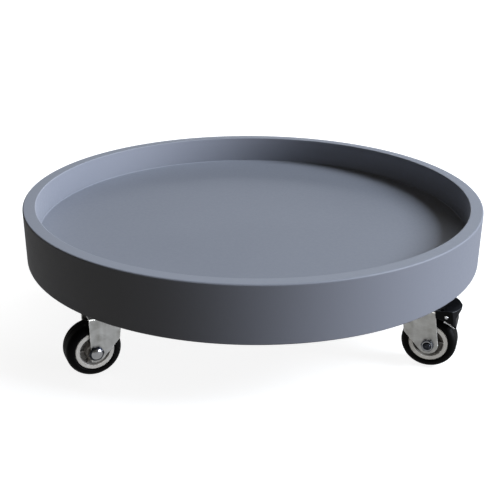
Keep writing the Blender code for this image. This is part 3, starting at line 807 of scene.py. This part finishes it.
def screw_mesh():
    """A pan head wood screw: rolled thread, and a cross recess in its head."""
    head_low = SCREW_TOP - SCREW_HEAD_THICK
    thread = []
    count = round((SCREW_TIP - SCREW_POINT - SCREW_TOP) / SCREW_PITCH)
    for turn in range(count):
        height = SCREW_TIP - SCREW_POINT - turn * SCREW_PITCH
        thread.append((SCREW_SHANK_R, height))
        thread.append((SCREW_SHANK_R - SCREW_THREAD, height - SCREW_PITCH / 2))
    corners = [
        (SCREW_SHANK_R - SCREW_THREAD, SCREW_TOP, 0),
        (SCREW_HEAD_R, SCREW_TOP, 0.0002),
        (SCREW_HEAD_R, SCREW_TOP - SCREW_HEAD_THICK * HEAD_FACE, 0.0007),
        (SCREW_HEAD_R * 0.72, head_low, 0.0009),
        (0.0, head_low, 0),
        (0.0, SCREW_TOP, 0),
    ]
    head = filleted(corners, 6)[:-1]
    screw = turned("screw", [(0.0, SCREW_TIP)] + thread + head, SCREW_STEPS)
    slot = rectangle(CROSS_HALF, CROSS_SLOT_HALF, 0.0001, 2)
    cross = []
    for turn in (0, 90):
        around = Matrix.Rotation(math.radians(turn), 4, "Z")
        blade = extruded("blade", slot, head_low - OVER, head_low + CROSS_DEPTH, around)
        cross.append(("DIFFERENCE", blade))
    return combined("screw", screw, cross)


# Fork -----------------------------------------------------------------------------------


def bent_strip():
    """The U of the crown and both legs, long enough to be trimmed to its outlines."""
    low = WHEEL_R - LEG_BOSS_R - 10 * OVER
    shoulder = CROWN_TOP - FORK_BEND_R
    turn_y = FORK_HALF - FORK_BEND_R
    inner = FORK_BEND_R - STEEL
    outline = [(FORK_HALF, low)]
    outline += arc((turn_y, shoulder), FORK_BEND_R, 0, 90, 12)
    outline += arc((-turn_y, shoulder), FORK_BEND_R, 90, 180, 12)
    outline += [(-FORK_HALF, low), (-FORK_INNER, low)]
    outline += arc((-turn_y, shoulder), inner, 180, 90, 8)
    outline += arc((turn_y, shoulder), inner, 90, 0, 8)
    outline += [(FORK_INNER, low)]
    return extruded("fork", outline, -LONG / 2, LONG / 2, FACE_X)


def leg_outline(with_ear):
    """The fork from its side, as (x, z): both legs, the crown's edge, and the brake's ear."""
    axle = (TRAIL, WHEEL_R)
    top = CROWN_TOP + OVER
    crown_edge = CROWN_TOP - STEEL - FIT
    front = LEG_FRONT_X - 2 * FORK_HALF
    rise = CROWN_TOP - WHEEL_R
    back = CROWN_BACK_X - TRAIL
    tangent = math.degrees(math.atan2(rise, back) - math.acos(LEG_BOSS_R / math.hypot(rise, back)))
    outline = arc(axle, LEG_BOSS_R, -135, tangent, 28)
    if with_ear:
        outline += [(CROWN_BACK_X + FIT, PIN_Z - EAR_R / 2)]
        outline += arc((PIN_X, PIN_Z), EAR_R, -90, 52, 14)
        outline += [(PIN_X - EAR_R, PIN_Z + EAR_R * 0.8)]
    outline += [(CROWN_BACK_X, top), (front, top), (front, crown_edge)]
    knee_x, knee_z = LEG_KNEE
    knee = filleted([
        (LEG_FRONT_X, crown_edge, 0),
        (knee_x, knee_z, KNEE_R),
        (axle[0] - LEG_BOSS_R, knee_z - (axle[0] - LEG_BOSS_R - knee_x), 0),
    ])
    return outline + knee[:-1]


def crown_outline(with_ear):
    """The fork from above: straight sides, a round nose, and the gap between the ears."""
    half = FORK_HALF + OVER
    nose_r = math.hypot(LEG_FRONT_X, FORK_HALF)
    side = math.degrees(math.atan2(FORK_HALF, LEG_FRONT_X))
    nose = arc((0.0, 0.0), nose_r, side, 360 - side, 40)
    back = PIN_X + 2 * EAR_R if with_ear else CROWN_BACK_X
    outline = [(back, half), (LEG_FRONT_X, half)] + nose + [(LEG_FRONT_X, -half), (back, -half)]
    if with_ear:
        gap = FORK_INNER - FIT
        outline += [(back, -gap), (CROWN_BACK_X, -gap), (CROWN_BACK_X, gap), (back, gap)]
    return outline


def cross_hole(pin_radius, centre):
    """A cutter right through a caster along Y, for a pin at this (x, z)."""
    return cylinder("hole", pin_radius + FIT, -LONG / 2, LONG / 2, PIN_STEPS, TURN_TO_Y, centre)


def fork_mesh(with_ear):
    legs = extruded("legs", leg_outline(with_ear), -LONG / 2, LONG / 2, STAND_UP)
    crown = extruded("crown", crown_outline(with_ear), -LONG / 2, LONG / 2)
    pin_hole = cylinder(
        "hole", KINGPIN_R + FIT, CROWN_TOP - 2 * STEEL, CROWN_TOP + OVER, PIN_STEPS
    )
    outline_steps = [("INTERSECT", legs), ("INTERSECT", crown)]
    if with_ear:
        outline_steps.append(("DIFFERENCE", cross_hole(PIN_R, (PIN_X, PIN_Z))))
    blank = rounded(combined("blank", bent_strip(), outline_steps), FORK_EDGE)
    axle_hole = cross_hole(AXLE_R, (TRAIL, WHEEL_R))
    return combined("fork", blank, [("DIFFERENCE", axle_hole), ("DIFFERENCE", pin_hole)])


# Wheel, modelled round Y through its own centre ------------------------------------------


def tyre_mesh():
    """Round shoulders, a moulding seam round the tread and a small lip at the bore."""
    flat = WHEEL_HALF - TYRE_SHOULDER_R
    side_r = WHEEL_R - TYRE_SHOULDER_R
    tread = WHEEL_R - TYRE_SEAM
    half = [
        (TYRE_BORE_R, WHEEL_HALF - TYRE_LIP - TYRE_BORE_EDGE),
        (TYRE_BORE_R + TYRE_BORE_EDGE * 0.3, WHEEL_HALF - TYRE_LIP),
        (TYRE_BORE_R + TYRE_BORE_EDGE, WHEEL_HALF - TYRE_BORE_EDGE / 4),
    ]
    half += arc((side_r, flat), TYRE_SHOULDER_R, 88, 0, 20)
    half += [(WHEEL_R, TYRE_SEAM_HALF), (tread, TYRE_SEAM)]
    profile = half + [(WHEEL_R, 0.0)] + [(radius, -side) for radius, side in reversed(half)]
    return turned("tyre", profile, WHEEL_STEPS, TURN_TO_Y)


def hub_mesh():
    """A ring with a rounded lip, a recessed web with six ribs, and the boss round the bore."""
    ring_r = TYRE_BORE_R - FIT
    half = [
        (HUB_BORE_R, HUB_HALF, 0.0003),
        (HUB_BOSS_R, HUB_HALF, 0.0004),
        (HUB_BOSS_R + HUB_DRAFT, WEB_HALF, 0.0007),
        (RING_INNER_R - HUB_DRAFT, WEB_HALF, 0.0007),
        (RING_INNER_R, RING_HALF, 0.0006),
        (ring_r, RING_HALF, 0.0009),
    ]
    corners = half + [(radius, -side, edge) for radius, side, edge in reversed(half)]
    solid = turned("hub", filleted(corners, 6), WHEEL_STEPS, TURN_TO_Y)
    bore = cylinder("bore", HUB_BORE_R + FIT / 10, -LONG / 2, LONG / 2, PIN_STEPS, TURN_TO_Y)
    section = rectangle(RIB_THICK / 2, RIB_HALF, RIB_EDGE, 4)
    reach = RING_INNER_R + OVER
    steps = []
    for i in range(RIB_PAIRS):
        rib = extruded("rib", section, -reach, reach)
        around = Matrix.Rotation(math.pi * i / RIB_PAIRS, 4, "Y")
        rib.transform(around @ TURN_TO_Y @ FACE_X)
        steps.append(("UNION", rib))
    steps.append(("DIFFERENCE", bore))
    return combined("hub", solid, steps)


def sleeve_mesh():
    half = FORK_INNER - FIT
    bore = AXLE_R + FIT
    corners = [(SLEEVE_R, half), (SLEEVE_R, -half), (bore, -half), (bore, half)]
    profile = filleted([(radius, side, 0.0002) for radius, side in corners], 3)
    return turned("sleeve", profile, PIN_STEPS, TURN_TO_Y)


def axle_bolt_mesh():
    """A domed hexagon head on a washer face, a plain shank and a threaded end."""
    under_head = FORK_HALF + FIT
    end = -(FORK_HALF + FIT + NUT_THICK + BOLT_END)
    top = under_head + BOLT_HEAD_THICK
    corner = BOLT_DOME_R + 2 * FIT
    dome = [(0.0, top)]
    for step in range(1, BOLT_DOME_STEPS + 1):
        share = step / BOLT_DOME_STEPS
        dome.append((BOLT_DOME_R * share, top - BOLT_DOME * share ** 2))
    dome += [(corner, top - BOLT_DOME * (corner / BOLT_DOME_R) ** 2)]
    dome += [(corner, under_head + WASHER_FACE), (0.0, under_head + WASHER_FACE)]
    blank = extruded("blank", hexagon_outline(BOLT_HEAD_ACROSS, BOLT_CORNER_R), 0.0, 4 * top)
    head = combined("head", turned("dome", dome, PIN_STEPS), [("INTERSECT", blank)])
    head = rounded(head, BOLT_EDGE, 3, 25)
    seat = filleted([
        (0.0, under_head + 2 * WASHER_FACE, 0),
        (WASHER_FACE_R, under_head + 2 * WASHER_FACE, 0),
        (WASHER_FACE_R, under_head, 0.0001),
        (0.0, under_head, 0),
    ])
    inside_head = (under_head + top) / 2
    thread_top = -(FORK_HALF - FIT)
    thread = []
    height = thread_top
    while height - THREAD_PITCH > end + BOLT_END / 2:
        thread += [(AXLE_R, height), (AXLE_R - THREAD_DEPTH, height - THREAD_PITCH / 2)]
        height -= THREAD_PITCH
    shank = [(0.0, inside_head), (AXLE_R, inside_head)] + thread
    shank += [(AXLE_R, end + BOLT_END / 2), (AXLE_R - BOLT_END / 2, end), (0.0, end)]
    steps = [
        ("UNION", turned("seat", seat, PIN_STEPS)),
        ("UNION", turned("shank", shank, PIN_STEPS)),
    ]
    bolt = combined("axle_bolt", head, steps)
    # The head's outer ring, sides and seat get the dark steel as painted shade round the head; the
    # thread is dark steel too.
    second_material_where(
        bolt, lambda centre, normal: centre.xy.length > BOLT_PAINTED_SHADE_R or centre.z < thread_top
    )
    bolt.transform(TURN_TO_Y)
    return bolt


def axle_nut_mesh():
    """A hexagon nut, chamfered on both faces, with a countersunk thread."""
    low = FORK_HALF + FIT
    high = low + NUT_THICK
    face_r = NUT_ACROSS / 2 * 0.94
    chamfer_r = NUT_ACROSS / 2 * 1.04
    corner = NUT_ACROSS / math.sqrt(3) + FIT
    bore = AXLE_R + FIT / 3
    countersink = 0.0004
    profile = [
        (bore + countersink, high),
        (face_r, high),
        (chamfer_r, high - NUT_CHAMFER * 0.45),
        (corner, high - NUT_CHAMFER * 1.6),
        (corner, low + NUT_CHAMFER * 1.6),
        (chamfer_r, low + NUT_CHAMFER * 0.45),
        (face_r, low),
        (bore, low),
        (bore, high - countersink),
    ]
    blank = extruded("blank", hexagon_outline(NUT_ACROSS), 0.0, 4 * high)
    nut = combined("axle_nut", turned("chamfers", profile, PIN_STEPS), [("INTERSECT", blank)])
    nut = rounded(nut, NUT_EDGE, 2, 28)
    # The nut's sides and chamfers get the dark steel: painted shade round its edge.
    second_material_where(nut, lambda centre, normal: abs(normal.z) < 0.9)
    nut.transform(Matrix.Rotation(math.pi, 4, "X") @ TURN_TO_Y)
    return nut


# Brake, modelled locked and then turned back by its travel -------------------------------


def side_spans(inner, outer):
    """The (low, high) spans of y from inner to outer, on both sides of the middle."""
    return [(-outer, -inner), (inner, outer)]


def released(mesh):
    """Turns a locked brake piece back about the pivot pin, and puts its origin on the pin."""
    mesh.transform(Matrix.Translation((-PIN_X, 0.0, -PIN_Z)))
    mesh.transform(Matrix.Rotation(-PEDAL_TRAVEL, 4, "Y"))
    return mesh


def pedal_slot_meshes():
    """The two slots that take the fork's ears. Ahead of the pin they are open at the top."""
    back = PIN_X + EAR_R + 4 * FIT
    front = PIN_X - 4 * EAR_R
    low = PIN_Z - LONG / 4
    high = PIN_Z + EAR_R + PEDAL_SLOT_ROOM
    outline = [
        (front, low),
        (back, low),
        (back, PIN_Z + FIT),
        (PIN_X + EAR_R / 2, high),
        (PIN_X - EAR_R / 2, high),
        (PIN_X - EAR_R, PIN_Z + 3 * EAR_R),
        (front, PIN_Z + 3 * EAR_R),
    ]
    slots = []
    for low_y, high_y in side_spans(PEDAL_SLOT_INNER, PEDAL_SLOT_OUTER):
        slots.append(extruded("slot", outline, -high_y, -low_y, STAND_UP))
    return slots


def pedal_mesh():
    """A block arched over the tyre, slotted for the fork's ears and cut by its side and plan."""
    wheel = (TRAIL, WHEEL_R)
    heel = arc(wheel, PEDAL_ARCH_R + PEDAL_LIP, PEDAL_HEEL - 1, PEDAL_HEEL - 1, 1)[0]
    side = [(PIN_X + x, PIN_Z + z, radius) for x, z, radius in PEDAL_SIDE]
    side.append((heel[0], heel[1], 0))
    arch = arc(wheel, PEDAL_ARCH_R, PEDAL_TOE, PEDAL_HEEL, 20)
    outline = filleted(side)[::-1] + arch
    pedal = extruded("pedal", outline, -PEDAL_HALF, PEDAL_HALF, STAND_UP)
    half = PEDAL_HALF + FIT
    far_side = [(PIN_X + x, y, radius) for x, y, radius in PEDAL_PLAN]
    near_side = [(x, -y, radius) for x, y, radius in reversed(far_side)]
    plan = filleted([(0.0, half, 0)] + far_side + near_side + [(0.0, -half, 0)])
    arches = []
    for low_y, high_y in side_spans(PEDAL_SLOT_INNER, half):
        arches.append(
            cylinder("arch", PEDAL_CHEEK_ARCH_R, low_y, high_y, WHEEL_STEPS, TURN_TO_Y, wheel)
        )
    core_x = PIN_X + PEDAL_CORE_X
    side_y = PEDAL_SLOT_MIDDLE
    front = [(-LONG, -side_y), (core_x, -side_y), (core_x, side_y), (-LONG, side_y)]
    steps = [
        ("INTERSECT", extruded("plan", plan, -LONG, LONG)),
        ("DIFFERENCE", joined("slots", pedal_slot_meshes())),
        ("DIFFERENCE", joined("arches", arches)),
        ("DIFFERENCE", extruded("front", front, 0.0, LONG)),
    ]
    blank = rounded(combined("blank", pedal, steps), PEDAL_EDGE)
    hole = ("DIFFERENCE", cross_hole(PIN_R, (PIN_X, PIN_Z)))
    return released(combined("pedal", blank, [hole]))


def shoe_mesh():
    """The curved steel strip that presses on the tyre."""
    wheel = (TRAIL, WHEEL_R)
    low = PEDAL_HEEL + 1
    high = PEDAL_HEEL + SHOE_SPAN
    outline = arc(wheel, SHOE_LOCKED_R, low, high, 20)
    outline += arc(wheel, SHOE_LOCKED_R + SHOE_THICK, high, low, 20)
    shoe = extruded("shoe", outline, -SHOE_HALF, SHOE_HALF, STAND_UP)
    return released(rounded(shoe, SHOE_EDGE))


def pivot_pin_mesh():
    half = PEDAL_HALF + PIN_EDGE
    corners = [(0.0, half, 0), (PIN_R, half, PIN_EDGE), (PIN_R, -half, PIN_EDGE), (0.0, -half, 0)]
    return turned("pivot_pin", filleted(corners, 6), PIN_STEPS, TURN_TO_Y)


# Assembly -------------------------------------------------------------------------------


def add(node, mesh, finish, body, place=None):
    """One finished piece that stands for a CAD node. Copies of a piece share its mesh."""
    slot, *materials = FINISHES[finish]
    if not mesh.materials:
        for material in materials:
            mesh.materials.append(material)
        mesh.shade_smooth()
        mesh.set_sharp_from_angle(angle=SHARP)
    obj = linked(f"{node}_detail", mesh)
    if place:
        obj.matrix_world = place
    weighted = obj.modifiers.new("Normals", "WEIGHTED_NORMAL")
    weighted.weight = 80
    weighted.keep_sharp = True
    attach(obj, body)
    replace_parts(obj, node)


def axes(origin, ahead, side):
    """The matrix of a frame with this origin, +X and +Y."""
    up = ahead.cross(side)
    turn = Matrix((ahead, side, up)).transposed().to_4x4()
    return Matrix.Translation(origin) @ turn


def build_tray():
    add("rim_hoop", rim_hoop_mesh(), "paint", "tray")
    add("base_board", base_board_mesh(), "paint", "tray")
    screw = screw_mesh()
    for caster, name in enumerate(CASTERS):
        for number, (node, place) in enumerate(screw_nodes(name), 1):
            # No two heads' recesses point the same way.
            turn = Matrix.Rotation(math.radians(37.0 * number + 61.0 * caster), 4, "Z")
            spot = Matrix.Translation((place.x, place.y, 0.0))
            add(node, screw, "zinc", "tray", spot @ turn)


def build_casters():
    plate = plate_mesh()
    race = race_mesh()
    kingpin = kingpin_mesh()
    forks = {True: fork_mesh(True), False: fork_mesh(False)}
    tyre = tyre_mesh()
    hub = hub_mesh()
    sleeve = sleeve_mesh()
    bolt = axle_bolt_mesh()
    nut = axle_nut_mesh()
    pedal = pedal_mesh()
    shoe = shoe_mesh()
    pin = pivot_pin_mesh()
    for name in CASTERS:
        swivel = Vector(JOINTS[f"{name}_swivel"]["pos_m"])
        wheel = Vector(JOINTS[f"{name}_wheel_spin"]["pos_m"])
        spot = Vector((swivel.x, swivel.y, 0.0))
        outward = spot.normalized()
        trailing = Vector((wheel.x - swivel.x, wheel.y - swivel.y, 0.0)).normalized()
        up = Vector((0.0, 0.0, 1.0))
        mounting = axes(spot, outward, up.cross(outward))
        caster = axes(spot, trailing, up.cross(trailing))
        axle = caster @ Matrix.Translation((TRAIL, 0.0, WHEEL_R))
        head = f"{name}_caster"
        add(f"{name}_mounting_plate", plate, "zinc", "tray", mounting)
        add(f"{name}_ball_race", race, "race", "tray", mounting)
        add(f"{name}_kingpin", kingpin, "zinc", "tray", mounting)
        add(f"{name}_fork", forks[name in BRAKED], "zinc", head, caster)
        add(f"{name}_tyre", tyre, "rubber", f"{name}_wheel", axle)
        add(f"{name}_hub", hub, "hub", f"{name}_wheel", axle)
        add(f"{name}_axle_sleeve", sleeve, "bright", head, axle)
        add(f"{name}_axle_bolt", bolt, "bolt", head, axle)
        add(f"{name}_axle_nut", nut, "bolt", head, axle)
        if name in BRAKED:
            pivot = caster @ Matrix.Translation((PIN_X, 0.0, PIN_Z))
            brake = f"{name}_brake"
            add(f"{name}_brake_pedal", pedal, "pedal", brake, pivot)
            add(f"{name}_brake_shoe", shoe, "bright", brake, pivot)
            add(f"{name}_brake_pin", pin, "bright", head, pivot)


# Studio ---------------------------------------------------------------------------------


def softbox(name, azimuth, elevation, size, power, colour):
    """A rectangular light aimed at the tray. Azimuth is from the camera's side, -Y, to +X."""
    light = bpy.data.lights.new(name, "AREA")
    light.shape = "RECTANGLE"
    light.size, light.size_y = size
    light.energy = power
    light.color = colour
    obj = linked(name, light)
    round_z = math.radians(azimuth)
    rise = math.radians(elevation)
    level = Vector((math.sin(round_z), -math.cos(round_z), 0.0))
    towards = level * math.cos(rise) + Vector((0.0, 0.0, math.sin(rise)))
    obj.location = Vector((0.0, 0.0, BOARD_TOP)) + towards * LIGHT_DISTANCE
    obj.rotation_euler = towards.to_track_quat("Z", "Y").to_euler()
    return obj


def studio_paper(name, mesh, base, glow):
    """A glowing sheet of paper that is not part of the object. Matt pieces aren't lit by it."""
    obj = linked(name, mesh)
    paper = Recipe(name, Roughness=0.9, Specular_IOR_Level=0.1)
    paper.shader.inputs["Emission Strength"].default_value = glow
    paper.shader.inputs["Emission Color"].default_value = (1.0, 1.0, 1.0, 1.0)
    low = (base, base, base, 1.0)
    high = (base * 1.03, base * 1.03, base * 1.03, 1.0)
    paper.set("Base Color", paper.mixed(paper.noise(3.0), low, high))
    mesh.materials.append(paper.material)
    obj.visible_diffuse = False
    return obj


def studio_plane(name, height, base, glow):
    """A level square sheet, as far as the lights reach."""
    signs = [(-1, -1), (1, -1), (1, 1), (-1, 1)]
    mesh = bpy.data.meshes.new(name)
    mesh.from_pydata([(x * FLOOR_HALF, y * FLOOR_HALF, 0.0) for x, y in signs], [], [(0, 1, 2, 3)])
    obj = studio_paper(name, mesh, base, glow)
    obj.location.z = height
    return obj


def studio_backdrop(name, glow):
    """A pale dome round everything, so that each side is seen against the same white."""
    profile = arc((0.0, 0.0), BACKDROP_R, -90, 90, 32)
    profile = [(max(radius, 0.0), height) for radius, height in profile]
    profile[0] = (0.0, -BACKDROP_R)
    profile[-1] = (0.0, BACKDROP_R)
    mesh = turned(name, profile, WHEEL_STEPS)
    mesh.shade_smooth()
    obj = studio_paper(name, mesh, 0.0, glow)
    obj.visible_glossy = False
    obj.visible_shadow = False
    return obj


def build_studio():
    # The floor is what the camera sees, and the card under it is what gloss reflects.
    floor = studio_plane("studio_floor", height=-0.0002, base=0.45, glow=0.87)
    floor.visible_glossy = False
    card = studio_plane("studio_grey_card", height=-0.0006, base=0.0, glow=0.33)
    card.visible_camera = False
    card.visible_shadow = False
    studio_backdrop("studio_backdrop", glow=1.0)

    world = bpy.data.worlds.new("studio")
    bpy.context.scene.world = world
    world.use_nodes = True
    background = world.node_tree.nodes["Background"]
    background.inputs["Color"].default_value = (1.0, 0.95, 0.84, 1.0)
    background.inputs["Strength"].default_value = 0.065

    softbox("window", 78, 37, (1.8, 1.8), 197.0, (0.80, 0.89, 1.0))
    softbox("low_window", 65, 5, (2.4, 0.5), 68.0, (0.87, 0.89, 1.0))
    back = softbox("back", 165, 15, (2.4, 1.0), 150.0, (0.97, 1.0, 1.0))
    back.visible_glossy = False

    # The bright table in front of the casters, for their metal and hubs alone.
    receivers = bpy.data.collections.new("lit_by_fill")
    left_out = ("rim_hoop", "base_board", "_tyre", "_pedal", "_axle_bolt")
    for obj in frame["bodies"].values():
        for piece in obj.children:
            if "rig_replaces" in piece and not any(word in piece.name for word in left_out):
                receivers.objects.link(piece)
    fills = [
        softbox("fill_left", -28, 8, (2.4, 1.1), 62.0, (1.0, 0.98, 0.95)),
        softbox("fill_right", 34, 8, (2.4, 1.1), 90.0, (0.96, 0.98, 1.0)),
    ]
    for fill in fills:
        fill.light_linking.receiver_collection = receivers


def build_camera():
    camera = bpy.data.cameras.new("camera")
    obj = linked("camera", camera)
    obj.location = CAMERA_PLACE
    obj.rotation_euler = [math.radians(angle) for angle in CAMERA_DEGREES]
    camera.lens = CAMERA_LENS
    camera.sensor_width = CAMERA_SENSOR
    camera.clip_start = CAMERA_NEAREST
    bpy.context.scene.camera = obj
    bpy.context.scene.view_settings.view_transform = "Standard"


FINISHES = make_materials()
build_tray()
build_casters()
build_studio()
build_camera()
